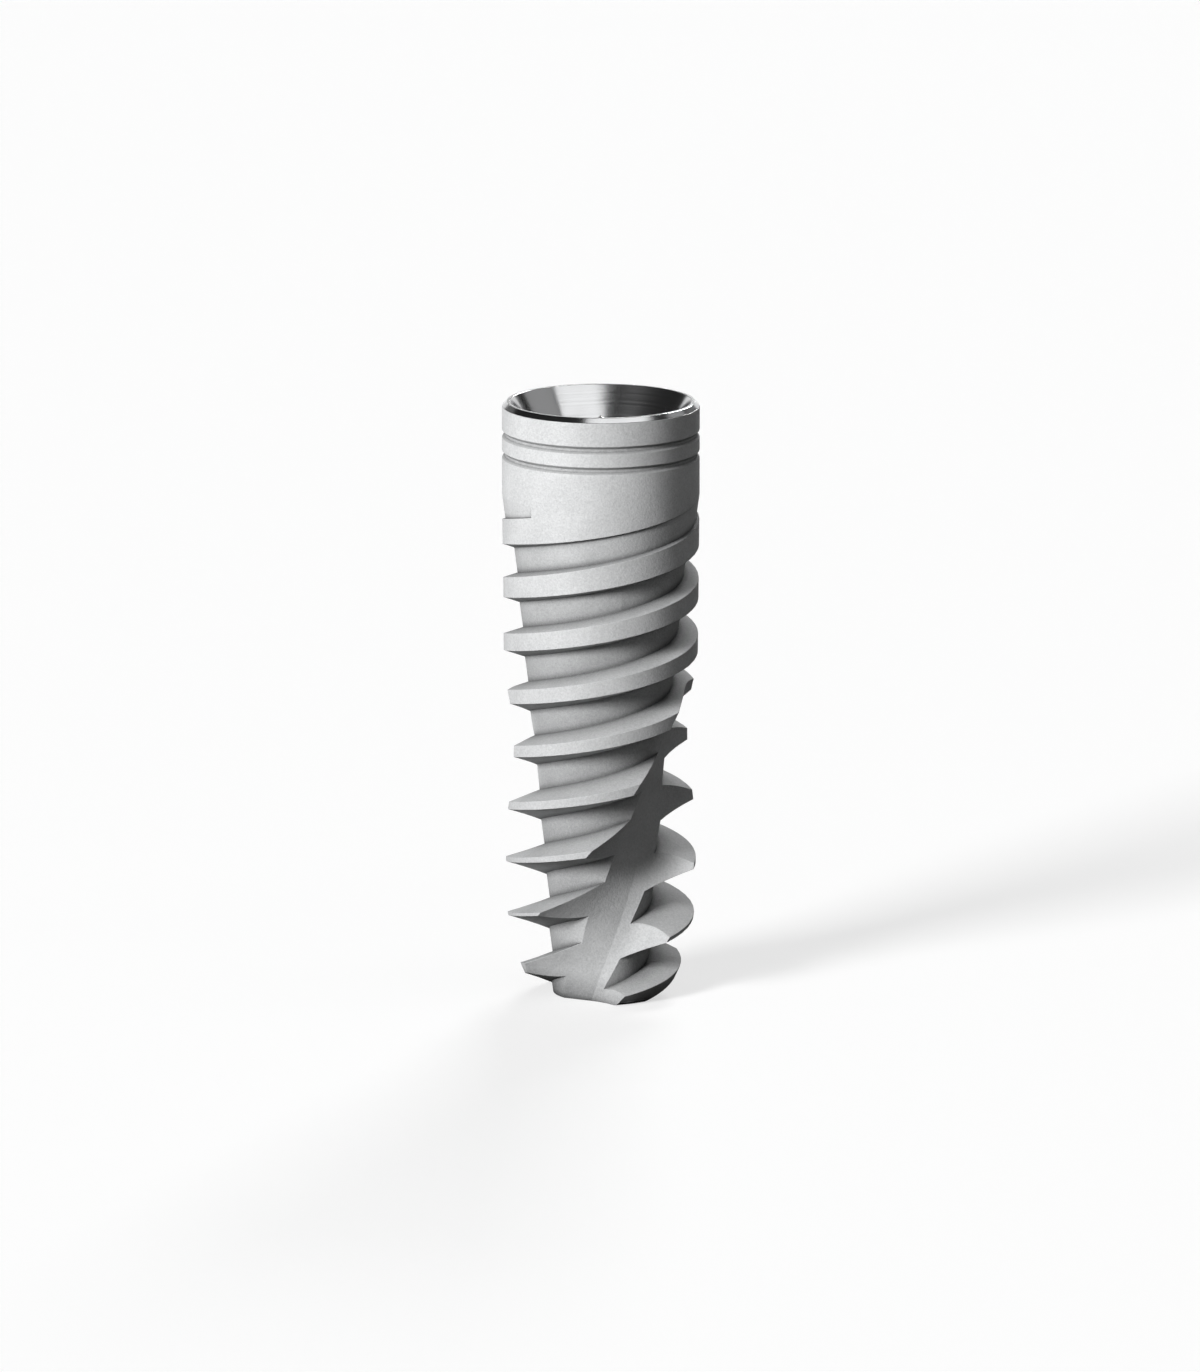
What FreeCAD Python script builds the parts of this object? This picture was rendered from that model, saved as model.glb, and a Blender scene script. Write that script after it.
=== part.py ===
# Root-form dental implant: the screw that stands in the jaw and carries the abutment and crown.
# One piece turned and milled from bar. From the top down it has a flat rim, an inner cone, a hexagon
# socket and a bore for the abutment screw; outside, two ring grooves round the neck, a double-start
# thread with square crests above and knife crests below, and two cutting flutes that wind up from the
# apex. Millimetres and degrees. The apex stands on z = 0 and the axis is Z.

import FreeCAD, Part
import math
import os

# Overall size
platform_diameter = 3.75
body_length = 11.5

# Neck and rim
neck_length = 1.78
rim_chamfer = 0.09
rim_width = 0.06
ring_groove_width = 0.145
ring_groove_depth = 0.05
first_ring_groove = 0.61
ring_groove_spacing = 0.395
ring_groove_count = 2

# Socket for the abutment and its screw
cone_half_angle = 31.0
hexagon_across_flats = 2.42
hexagon_turn = 90.0
hexagon_depth = 2.3
screw_bore_diameter = 1.8
screw_bore_depth = 5.8
screw_bore_lead_in = 0.1
drill_point_angle = 118.0

# Thread. Each start is one groove; what stands between the grooves is the ridge.
thread_starts = 2
thread_pitch = 1.06
thread_start_azimuth = -134.6
thread_top_above_neck_foot = 0.03
groove_floor_width = 0.485
flank_angle = 17.8
floor_slope = 7.4
crest_taper = 0.5

# Core, the body inside the thread, tapers in two stages. Its knee lies this deep under the neck's wall.
core_knee_height = 2.0
core_knee_depth = 0.875
core_upper_taper = 5.48
core_lower_taper = 2.6

# The grooves grow shallow between these two distances below the neck and leave along its foot
full_depth_below_neck = 1.22
shallow_below_neck = 0.62

# Apex
apex_round_height = 2.0
apex_round_radius = 3.9
apex_edge_radius = 0.12

# Flutes: a wide V with a round bottom, turned and lifted as it climbs
flute_count = 2
flute_wall_slope = 22.7
flute_bottom_radius = 1.2
flute_depth_from_axis = 0.48
flute_taper = 2.0
flute_side_shift = 0.95
flute_azimuth = -62.0
flute_twist = 25.6
flute_bend_height = 3.0
flute_twist_fade = 4.0
flute_lift_height = 2.8
flute_lift = 0.0325
flute_lift_power = 2.6
flute_top = 6.9

# Construction: how far the cutting tools reach past the metal, and how finely they are laid out
tool_reach = 0.4
helix_points_per_turn = 24
flute_section_step = 0.6

up = FreeCAD.Vector(0, 0, 1)
centre = FreeCAD.Vector(0, 0, 0)
platform_radius = platform_diameter / 2
thread_lead = thread_pitch * thread_starts
neck_foot = body_length - neck_length
thread_top = neck_foot + thread_top_above_neck_foot
full_depth_height = neck_foot - full_depth_below_neck
shallow_height = neck_foot - shallow_below_neck


def slope(angle):
    return math.tan(math.radians(angle))


def polar(radius, azimuth, height):
    turn = math.radians(azimuth)
    return FreeCAD.Vector(radius * math.cos(turn), radius * math.sin(turn), height)


def half_section(radius, height):
    return FreeCAD.Vector(radius, 0, height)


def line(start, end):
    return Part.LineSegment(start, end).toShape()


def crest_radius(height):
    return platform_radius - slope(crest_taper) * max(0.0, neck_foot - height)


def core_radius(height):
    taper = core_upper_taper if height > core_knee_height else core_lower_taper
    return platform_radius - core_knee_depth + slope(taper) * (height - core_knee_height)


def blank():
    """The turned blank: neck with its ring grooves, threaded barrel and rounded apex."""
    rim_outer = platform_radius - rim_chamfer
    apex_start = half_section(crest_radius(apex_round_height), apex_round_height)
    round_centre = apex_start.x - apex_round_radius

    def round_point(height):
        drop = apex_round_height - height
        return half_section(round_centre + math.sqrt(apex_round_radius**2 - drop**2), height)

    points = [half_section(0, body_length), half_section(rim_outer, body_length),
              half_section(platform_radius, body_length - rim_chamfer)]
    edges = [line(points[0], points[1]), line(points[1], points[2])]
    last = points[2]
    for index in range(ring_groove_count):
        middle = body_length - first_ring_groove - index * ring_groove_spacing
        half = ring_groove_width / 2
        profile = [half_section(platform_radius, middle + half),
                   half_section(platform_radius - ring_groove_depth, middle + half - ring_groove_depth),
                   half_section(platform_radius - ring_groove_depth, middle - half + ring_groove_depth),
                   half_section(platform_radius, middle - half)]
        for corner in profile:
            edges.append(line(last, corner))
            last = corner
    foot = half_section(platform_radius, neck_foot)
    apex_end = round_point(0)
    edges += [line(last, foot), line(foot, apex_start),
              Part.Arc(apex_start, round_point(apex_round_height / 2), apex_end).toShape(),
              line(apex_end, centre), line(centre, points[0])]
    turned = Part.Face(Part.Wire(edges)).revolve(centre, up, 360)
    apex_edges = [edge for edge in turned.Edges
                  if edge.BoundBox.ZMax < 1e-6 and abs(edge.BoundBox.XMax - apex_end.x) < 1e-6]
    return turned.makeFillet(apex_edge_radius, apex_edges)


def groove_floor_radius(height):
    """Middle of the groove floor: on the core, then rising to leave along the foot of the neck."""
    leaving = platform_radius - slope(floor_slope) * (neck_foot - height)
    share = (height - full_depth_height) / (shallow_height - full_depth_height)
    share = min(max(share, 0.0), 1.0)
    blend = share * share * (3 - 2 * share)
    return core_radius(height) + blend * (leaving - core_radius(height))


def groove_corners(turn, azimuth_shift):
    """The four corners of the groove section after so many degrees of turn down from its top."""
    height = thread_top - thread_lead * turn / 360
    azimuth = thread_start_azimuth + azimuth_shift - turn
    floor = groove_floor_radius(height)
    half = groove_floor_width / 2
    outer = platform_radius + tool_reach
    corners = []
    for side in (1, -1):
        edge_radius = floor + side * half * slope(floor_slope)
        reach = half + (outer - edge_radius) * slope(flank_angle)
        corners.append((polar(edge_radius, azimuth, height + side * half),
                        polar(outer, azimuth, height + side * reach)))
    (upper_in, upper_out), (lower_in, lower_out) = corners
    return [upper_in, upper_out, lower_out, lower_in]


def groove_turns(azimuth_shift):
    """One start of the thread as helical bars of under a turn each, end to end, to be cut in order."""
    span = 360 * (thread_top + tool_reach + groove_floor_width) / thread_lead
    count = math.ceil(span / 360)
    turns = []
    for index in range(count):
        stations = [groove_corners(span * (index + step / helix_points_per_turn) / count, azimuth_shift)
                    for step in range(helix_points_per_turn + 1)]
        turns.append(helical_bar(stations))
    return turns


def helical_bar(stations):
    """A closed solid through four-cornered sections, with smooth edges and ruled faces."""
    rails = []
    for corner in range(4):
        curve = Part.BSplineCurve()
        curve.interpolate([station[corner] for station in stations])
        rails.append(curve.toShape())
    same_direction = 1
    faces = [Part.makeRuledSurface(rails[i], rails[(i + 1) % 4], same_direction) for i in range(4)]
    for station in (stations[0], stations[-1]):
        faces.append(Part.Face(Part.makePolygon(station + [station[0]])))
    return closed_solid(faces)


def closed_solid(faces):
    shell = Part.makeShell(faces)
    shell.sewShape()
    solid = Part.Solid(Part.Shell(shell.Faces))
    if solid.Volume < 0:
        solid.reverse()
    return solid


def flute_section(height, azimuth_shift):
    """Closed outline of the flute cutter at one height, open side outwards."""
    above = max(0.0, height - flute_bend_height)
    azimuth = (flute_azimuth + azimuth_shift + flute_twist * (height - flute_bend_height)
               - flute_twist_fade * above**2)
    lift = flute_lift * max(0.0, height - flute_lift_height)**flute_lift_power
    bottom = flute_depth_from_axis + slope(flute_taper) * height + lift
    tilt = math.radians(flute_wall_slope)
    width = platform_radius + tool_reach
    roof = 2 * platform_radius

    def place(side, outward):
        turn = math.radians(azimuth)
        return FreeCAD.Vector(outward * math.cos(turn) - side * math.sin(turn),
                              outward * math.sin(turn) + side * math.cos(turn), height)

    def wall(side):
        return place(side, bottom + abs(side - flute_side_shift) * math.tan(tilt))

    touch = flute_bottom_radius * math.sin(tilt)
    arc_low = bottom + flute_bottom_radius * (1 / math.cos(tilt) - 1)
    left, right = wall(-width), wall(width)
    left_touch, right_touch = wall(flute_side_shift - touch), wall(flute_side_shift + touch)
    left_roof, right_roof = place(-width, roof), place(width, roof)
    return Part.Wire([line(left, left_touch),
                      Part.Arc(left_touch, place(flute_side_shift, arc_low), right_touch).toShape(),
                      line(right_touch, right), line(right, right_roof),
                      line(right_roof, left_roof), line(left_roof, left)])


def flute(azimuth_shift):
    """One cutting flute as a twisted solid, from below the apex to where it leaves the barrel."""
    bottom = -tool_reach
    count = math.ceil((flute_top - bottom) / flute_section_step)
    heights = [bottom + (flute_top - bottom) * step / count for step in range(count + 1)]
    return Part.makeLoft([flute_section(height, azimuth_shift) for height in heights], True, False)


def socket():
    """Inner cone, hexagon and screw bore as one solid, to be cut from the top."""
    mouth = platform_radius - rim_chamfer - rim_width
    cone_depth = mouth / slope(cone_half_angle)
    cone = Part.makeCone(0, mouth + tool_reach * slope(cone_half_angle), cone_depth + tool_reach,
                         FreeCAD.Vector(0, 0, body_length - cone_depth))
    hexagon_floor = body_length - hexagon_depth
    corner_radius = hexagon_across_flats / math.sqrt(3)
    corners = [polar(corner_radius, hexagon_turn + 60 * index, hexagon_floor) for index in range(7)]
    hexagon = Part.Face(Part.makePolygon(corners)).extrude(up * hexagon_depth)
    bore_radius = screw_bore_diameter / 2
    bore_floor = body_length - screw_bore_depth
    point_depth = bore_radius / slope(drill_point_angle / 2)
    profile = [half_section(0, bore_floor - point_depth), half_section(bore_radius, bore_floor),
               half_section(bore_radius, hexagon_floor - screw_bore_lead_in),
               half_section(bore_radius + screw_bore_lead_in, hexagon_floor),
               half_section(0, hexagon_floor)]
    bore = Part.Face(Part.makePolygon(profile + [profile[0]])).revolve(centre, up, 360)
    mouth_bar = Part.makeCylinder(mouth, hexagon_depth, FreeCAD.Vector(0, 0, hexagon_floor))
    return cone.fuse([hexagon.common(mouth_bar), bore])


def implant():
    body = blank()
    for start in range(thread_starts):
        for bar in groove_turns(start * 360 / thread_starts):
            body = body.cut(bar)
    for index in range(flute_count):
        body = body.cut(flute(index * 360 / flute_count))
    body = body.cut(socket())
    return max(body.Solids, key=lambda solid: solid.Volume)


os.makedirs("parts", exist_ok=True)
fixture = implant()
fixture.exportStep("parts/implant_fixture.step")
print("implant_fixture volume mm3", round(fixture.Volume, 4), "valid", fixture.isValid())
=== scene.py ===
# A dental implant of blasted titanium, standing on a pale floor in soft studio light.
import math
import bpy
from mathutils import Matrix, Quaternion, Vector


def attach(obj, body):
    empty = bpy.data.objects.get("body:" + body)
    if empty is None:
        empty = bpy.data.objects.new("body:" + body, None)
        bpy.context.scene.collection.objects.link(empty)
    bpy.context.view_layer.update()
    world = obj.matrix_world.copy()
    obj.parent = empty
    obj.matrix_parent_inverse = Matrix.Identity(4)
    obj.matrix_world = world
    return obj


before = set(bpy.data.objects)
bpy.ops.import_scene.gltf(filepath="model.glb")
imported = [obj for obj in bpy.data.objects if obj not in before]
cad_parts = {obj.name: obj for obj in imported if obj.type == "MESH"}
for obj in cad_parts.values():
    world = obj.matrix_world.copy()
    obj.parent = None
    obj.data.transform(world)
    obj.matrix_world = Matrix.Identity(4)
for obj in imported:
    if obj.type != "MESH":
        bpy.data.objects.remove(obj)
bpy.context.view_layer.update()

scene = bpy.context.scene

# Sizes in metres, as in the CAD model
BODY = 0.0115
NECK_FOOT = 0.00972
CHAMFER_FOOT = 0.01141
HEXAGON_FLOOR = 0.0092
BORE_FLOOR = 0.0057
BORE_RADIUS = 0.0009

# Limits of the turned surfaces, with a little to spare past the socket's mouth, corners and drill point
MOUTH_LIMIT = 0.00175
HEXAGON_LIMIT = 0.00145
BORE_TIP_LIMIT = 0.0051
FINISH_EDGE = 0.00001
SOCKET_MARGIN = 0.00004

# Fine thread for the abutment screw
SCREW_PITCH = 0.00035
SCREW_DEPTH = 0.00019
SCREW_END_GAP = 0.0002
SCREW_SINK = 0.00001
SCREW_STEPS = 64
SCREW_FOOT_SHARE = 0.42
SCREW_CREST_SHARE = 0.07

# Finish and painted shade: noise scales are per metre, and colours are linear
GRAIN_SCALE = 32000.0
PIT_SCALE = 17000.0
PATCH_SCALE = 1500.0
TURNING_SCALE = 26000.0
GRAIN_TONE, PIT_TONE, PATCH_TONE = 0.45, 0.3, 0.25
TONE_RANGE = (0.3, 0.7)
BLASTED_DARK = (0.505, 0.511, 0.515, 1)
BLASTED_LIGHT = (0.675, 0.681, 0.685, 1)
TURNED_COLOUR = (0.78, 0.787, 0.795, 1)
# Painted shade: ambient occlusion darkens the blasted colour in the grooves and hollows
GROOVE_SHADE_REACH = 0.00012
HOLLOW_SHADE_REACH = 0.0006
HOLLOW_SHADE_POWER = 1.2
# Painted shade: the blasted colour darkens steadily from this height down to the apex
APEX_SHADE_TOP = 0.0105
APEX_SHADE_AT_APEX = 0.76
BLASTED_ROUGHNESS = (0.6, 0.5)
TURNED_ROUGHNESS = (0.13, 0.19)
BLASTED_METALLIC = 0.07
PIT_RELIEF = 1.5
TURNING_RELIEF = 0.05
RELIEF_HEIGHT = 0.000006
EDGE_ROUNDING = 0.000018

# Floor
FLOOR_RADIUS = 3.0
WALL_HEIGHT = 0.6
FLOOR_SIDES = 96
FLOOR_LIGHTING = (0.04, 0.04, 0.04, 1)
FLOOR_SEEN = (0.42, 0.42, 0.42, 1)
FLOOR_GLOW = 0.6

# Light and camera, in metres and degrees
LAMP_DISTANCE = 1.2
SKY_STRENGTH = 0.015
CAMERA_DOWN = 12.083
CAMERA_DISTANCE = 0.2162
CAMERA_AIM = 0.005973
LENS = 297.8
SENSOR_HEIGHT = 36
FRAME_HEIGHT = 1372
FRAME_SHIFT = -0.85


def add(tree, kind, inputs=None, **settings):
    """A shader node with its settings and input values."""
    node = tree.nodes.new(kind)
    for name, value in settings.items():
        setattr(node, name, value)
    for name, value in (inputs or {}).items():
        node.inputs[name].default_value = value
    return node


def maths(tree, operation, *values):
    """The result of a Math node on numbers or sockets."""
    node = add(tree, "ShaderNodeMath", operation=operation)
    for socket, value in zip(node.inputs, values):
        if isinstance(value, (int, float)):
            socket.default_value = value
        else:
            tree.links.new(value, socket)
    return node.outputs[0]


def step(tree, value, low, high):
    """A smooth step from 0 at low to 1 at high, or down if low is above high."""
    limits = {"From Min": low, "From Max": high}
    node = add(tree, "ShaderNodeMapRange", limits, interpolation_type="SMOOTHSTEP")
    tree.links.new(value, node.inputs["Value"])
    return node.outputs["Result"]


def blend(tree, share, first, second):
    """A number that goes from first to second with the share."""
    return maths(tree, "ADD", maths(tree, "MULTIPLY", maths(tree, "SUBTRACT", 1.0, share), first),
                 maths(tree, "MULTIPLY", share, second))


def noise(tree, place, scale, detail, roughness=0.55):
    node = add(tree, "ShaderNodeTexNoise", {"Scale": scale, "Detail": detail, "Roughness": roughness})
    tree.links.new(place, node.inputs["Vector"])
    return node.outputs["Fac"]


def turned_share(tree, place):
    """A share and the height. The share is 1 where the metal is left as turned and 0 where it is blasted."""
    parts = add(tree, "ShaderNodeSeparateXYZ")
    tree.links.new(place, parts.inputs["Vector"])
    x, y, z = parts.outputs["X"], parts.outputs["Y"], parts.outputs["Z"]
    square = maths(tree, "ADD", maths(tree, "MULTIPLY", x, x), maths(tree, "MULTIPLY", y, y))
    radius = maths(tree, "SQRT", square)

    def above(height):
        return step(tree, z, height - FINISH_EDGE, height + FINISH_EDGE)

    def within(size):
        return step(tree, radius, size + FINISH_EDGE, size - FINISH_EDGE)

    cone = maths(tree, "MULTIPLY", above(NECK_FOOT), within(MOUTH_LIMIT))
    hexagon = maths(tree, "MULTIPLY", above(HEXAGON_FLOOR - SOCKET_MARGIN), within(HEXAGON_LIMIT))
    bore = maths(tree, "MULTIPLY", above(BORE_TIP_LIMIT), within(BORE_RADIUS + SOCKET_MARGIN))
    inside = maths(tree, "MAXIMUM", maths(tree, "MAXIMUM", cone, hexagon), bore)
    return maths(tree, "MAXIMUM", inside, above(CHAMFER_FOOT)), z


def metal_colour(tree, turned, height, grain, pits, patches):
    """Blasted grey in fine patches, with painted shade that darkens it in the grooves and hollows and
    towards the apex, and bright where turned.
    """
    fine_tone = maths(tree, "ADD", maths(tree, "MULTIPLY", grain, GRAIN_TONE),
                      maths(tree, "MULTIPLY", pits, PIT_TONE))
    tone = maths(tree, "ADD", fine_tone, maths(tree, "MULTIPLY", patches, PATCH_TONE))
    blasted = add(tree, "ShaderNodeMix", data_type="RGBA")
    blasted.inputs["A"].default_value = BLASTED_DARK
    blasted.inputs["B"].default_value = BLASTED_LIGHT
    tree.links.new(step(tree, tone, *TONE_RANGE), blasted.inputs["Factor"])
    colour = add(tree, "ShaderNodeMix", data_type="RGBA")
    colour.inputs["B"].default_value = TURNED_COLOUR
    tree.links.new(turned, colour.inputs["Factor"])
    tree.links.new(blasted.outputs["Result"], colour.inputs["A"])

    # Painted shade: ambient occlusion darkens the blasted colour in the grooves and hollows
    groove = add(tree, "ShaderNodeAmbientOcclusion", {"Distance": GROOVE_SHADE_REACH}, samples=8)
    hollow = add(tree, "ShaderNodeAmbientOcclusion", {"Distance": HOLLOW_SHADE_REACH}, samples=8)
    painted_hollow_shade = maths(tree, "MULTIPLY", groove.outputs["AO"],
                   maths(tree, "POWER", hollow.outputs["AO"], HOLLOW_SHADE_POWER))
    # Painted shade: the blasted colour darkens steadily from the neck down to the apex
    darker_below = {"From Min": 0.0, "From Max": APEX_SHADE_TOP, "To Min": APEX_SHADE_AT_APEX, "To Max": 1.0}
    painted_apex_shade = add(tree, "ShaderNodeMapRange", darker_below)
    tree.links.new(height, painted_apex_shade.inputs["Value"])
    shade = blend(tree, turned, maths(tree, "MULTIPLY", painted_hollow_shade, painted_apex_shade.outputs["Result"]), 1.0)
    shaded = add(tree, "ShaderNodeMix", data_type="RGBA", blend_type="MULTIPLY")
    shaded.inputs["Factor"].default_value = 1.0
    tree.links.new(colour.outputs["Result"], shaded.inputs["A"])
    tree.links.new(shade, shaded.inputs["B"])
    return shaded.outputs["Result"]


def metal_relief(tree, turned, grain, pits, marks):
    """The normal, with slightly rounded edges, blasted pits and, where turned, faint tool marks."""
    rounded = add(tree, "ShaderNodeBevel", {"Radius": EDGE_ROUNDING}, samples=6)
    blasting = maths(tree, "ADD", grain, maths(tree, "MULTIPLY", pits, PIT_RELIEF))
    relief = blend(tree, turned, blasting, maths(tree, "MULTIPLY", marks, TURNING_RELIEF))
    bump = add(tree, "ShaderNodeBump", {"Strength": 0.7, "Distance": RELIEF_HEIGHT})
    tree.links.new(relief, bump.inputs["Height"])
    tree.links.new(rounded.outputs["Normal"], bump.inputs["Normal"])
    return bump.outputs["Normal"]


def titanium():
    """Blasted and etched outside, with fine turning marks on the rim and in the socket."""
    material = bpy.data.materials.new("blasted_titanium")
    material.use_nodes = True
    tree = material.node_tree
    shader = tree.nodes["Principled BSDF"]
    shader.inputs["Specular IOR Level"].default_value = 0.0
    place = add(tree, "ShaderNodeTexCoord").outputs["Object"]
    turned, height = turned_share(tree, place)

    grain = noise(tree, place, GRAIN_SCALE, 2.0)
    pits = noise(tree, place, PIT_SCALE, 3.0, 0.6)
    patches = noise(tree, place, PATCH_SCALE, 3.0)
    turning = add(tree, "ShaderNodeTexNoise", {"Scale": TURNING_SCALE, "Detail": 3.0}, noise_dimensions="1D")
    tree.links.new(height, turning.inputs["W"])
    marks = turning.outputs["Fac"]

    colour = metal_colour(tree, turned, height, grain, pits, patches)
    tree.links.new(colour, shader.inputs["Base Color"])
    rough = blend(tree, turned, blend(tree, pits, *BLASTED_ROUGHNESS), blend(tree, marks, *TURNED_ROUGHNESS))
    tree.links.new(rough, shader.inputs["Roughness"])
    tree.links.new(blend(tree, turned, BLASTED_METALLIC, 1.0), shader.inputs["Metallic"])
    tree.links.new(metal_relief(tree, turned, grain, pits, marks), shader.inputs["Normal"])
    return material


def screw_thread(material):
    """The fine thread for the abutment screw, standing in from the bore's wall."""
    low, high = BORE_FLOOR + SCREW_END_GAP, HEXAGON_FLOOR - SCREW_END_GAP
    turns = (high - low) / SCREW_PITCH
    count = int(turns * SCREW_STEPS)
    wall = BORE_RADIUS + SCREW_SINK
    points, faces = [], []
    for index in range(count + 1):
        turn = math.tau * index / SCREW_STEPS
        height = low + SCREW_PITCH * index / SCREW_STEPS
        full = min(1.0, index / SCREW_STEPS, (count - index) / SCREW_STEPS)
        crest = wall - SCREW_SINK - SCREW_DEPTH * full
        for radius, rise in ((wall, -SCREW_FOOT_SHARE), (crest, -SCREW_CREST_SHARE),
                             (crest, SCREW_CREST_SHARE), (wall, SCREW_FOOT_SHARE)):
            points.append((radius * math.cos(turn), radius * math.sin(turn), height + rise * SCREW_PITCH))
        if index:
            last = 4 * (index - 1)
            for side in range(4):
                follow = (side + 1) % 4
                faces.append((last + side, last + 4 + side, last + 4 + follow, last + follow))
    faces.append((0, 1, 2, 3))
    faces.append(tuple(4 * count + side for side in (3, 2, 1, 0)))
    mesh = bpy.data.meshes.new("screw_thread")
    mesh.from_pydata(points, [], faces)
    mesh.materials.append(material)
    mesh.validate()
    thread = bpy.data.objects.new("screw_thread", mesh)
    scene.collection.objects.link(thread)
    mesh.shade_smooth()
    mesh.set_sharp_from_angle(angle=math.radians(35))
    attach(thread, "root")


def floor():
    """A wide pale floor with a low wall round it. The camera and the polished metal see it nearly white."""
    mesh = bpy.data.meshes.new("floor")
    turns = [math.tau * side / FLOOR_SIDES for side in range(FLOOR_SIDES)]
    ring = [(FLOOR_RADIUS * math.cos(turn), FLOOR_RADIUS * math.sin(turn), height)
            for height in (0, WALL_HEIGHT) for turn in turns]
    wall = []
    for side in range(FLOOR_SIDES):
        follow = (side + 1) % FLOOR_SIDES
        wall.append((follow, side, FLOOR_SIDES + side, FLOOR_SIDES + follow))
    mesh.from_pydata(ring, [], [tuple(range(FLOOR_SIDES))] + wall)
    plane = bpy.data.objects.new("floor", mesh)
    scene.collection.objects.link(plane)
    material = bpy.data.materials.new("pale_floor")
    material.use_nodes = True
    tree = material.node_tree
    shader = tree.nodes["Principled BSDF"]
    shader.inputs["Roughness"].default_value = 0.9
    shader.inputs["Specular IOR Level"].default_value = 0.1
    path = add(tree, "ShaderNodeLightPath")
    seen = maths(tree, "MAXIMUM", path.outputs["Is Camera Ray"],
                 maths(tree, "MAXIMUM", path.outputs["Is Glossy Ray"], path.outputs["Is Transmission Ray"]))
    colour = add(tree, "ShaderNodeMix", data_type="RGBA")
    colour.inputs["A"].default_value = FLOOR_LIGHTING
    colour.inputs["B"].default_value = FLOOR_SEEN
    tree.links.new(seen, colour.inputs["Factor"])
    tree.links.new(colour.outputs["Result"], shader.inputs["Base Color"])
    shader.inputs["Emission Color"].default_value = (1, 1, 1, 1)
    tree.links.new(maths(tree, "MULTIPLY", seen, FLOOR_GLOW), shader.inputs["Emission Strength"])
    mesh.materials.append(material)


def lamp(name, azimuth, elevation, width, height, power, roll=0):
    """A soft box aimed at the middle of the implant. Azimuth 0 is the photograph's side."""
    light = bpy.data.lights.new(name, "AREA")
    light.shape = "RECTANGLE"
    light.size = width
    light.size_y = height
    light.energy = power
    box = bpy.data.objects.new(name, light)
    turn, rise = math.radians(azimuth), math.radians(elevation)
    way = Vector((math.sin(turn) * math.cos(rise), -math.cos(turn) * math.cos(rise), math.sin(rise)))
    box.location = Vector((0, 0, BODY / 2)) + LAMP_DISTANCE * way
    aim = (-way).to_track_quat("-Z", "Y") @ Quaternion((0, 0, 1), math.radians(roll))
    box.rotation_euler = aim.to_euler()
    box.visible_camera = False
    scene.collection.objects.link(box)


def sky():
    """A faint even light from all round."""
    world = bpy.data.worlds.new("studio")
    scene.world = world
    world.use_nodes = True
    background = world.node_tree.nodes["Background"]
    background.inputs["Color"].default_value = (1, 1, 1, 1)
    background.inputs["Strength"].default_value = SKY_STRENGTH


def camera():
    """The photograph's viewing angle: 12 degrees down on the front, with a long lens."""
    lens = bpy.data.cameras.new("camera")
    lens.sensor_fit = "VERTICAL"
    lens.sensor_height = SENSOR_HEIGHT
    lens.lens = LENS
    lens.shift_x = FRAME_SHIFT / FRAME_HEIGHT
    lens.clip_start = 0.005
    lens.clip_end = 20
    eye = bpy.data.objects.new("camera", lens)
    down = math.radians(CAMERA_DOWN)
    eye.location = (0, -CAMERA_DISTANCE * math.cos(down), CAMERA_AIM + CAMERA_DISTANCE * math.sin(down))
    eye.rotation_euler = (math.pi / 2 - down, 0, 0)
    scene.collection.objects.link(eye)
    scene.camera = eye


metal = titanium()
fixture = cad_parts["implant_fixture"]
for slot in fixture.material_slots:
    slot.material = metal
screw_thread(metal)

floor()
lamp("key", -45, 20, 0.34, 0.34, 20.5)
lamp("overhead", 24, 51, 1.7, 0.18, 1.15)
lamp("top", 65, 75, 0.2, 1.1, 0.8, 43)
lamp("side", 108, 34, 1.1, 0.5, 0.5)
lamp("back", 178, 14, 2.0, 0.8, 0.6)
lamp("back_fill", 168, 27, 0.4, 0.3, 7.5)
sky()
camera()
scene.view_settings.view_transform = "Standard"
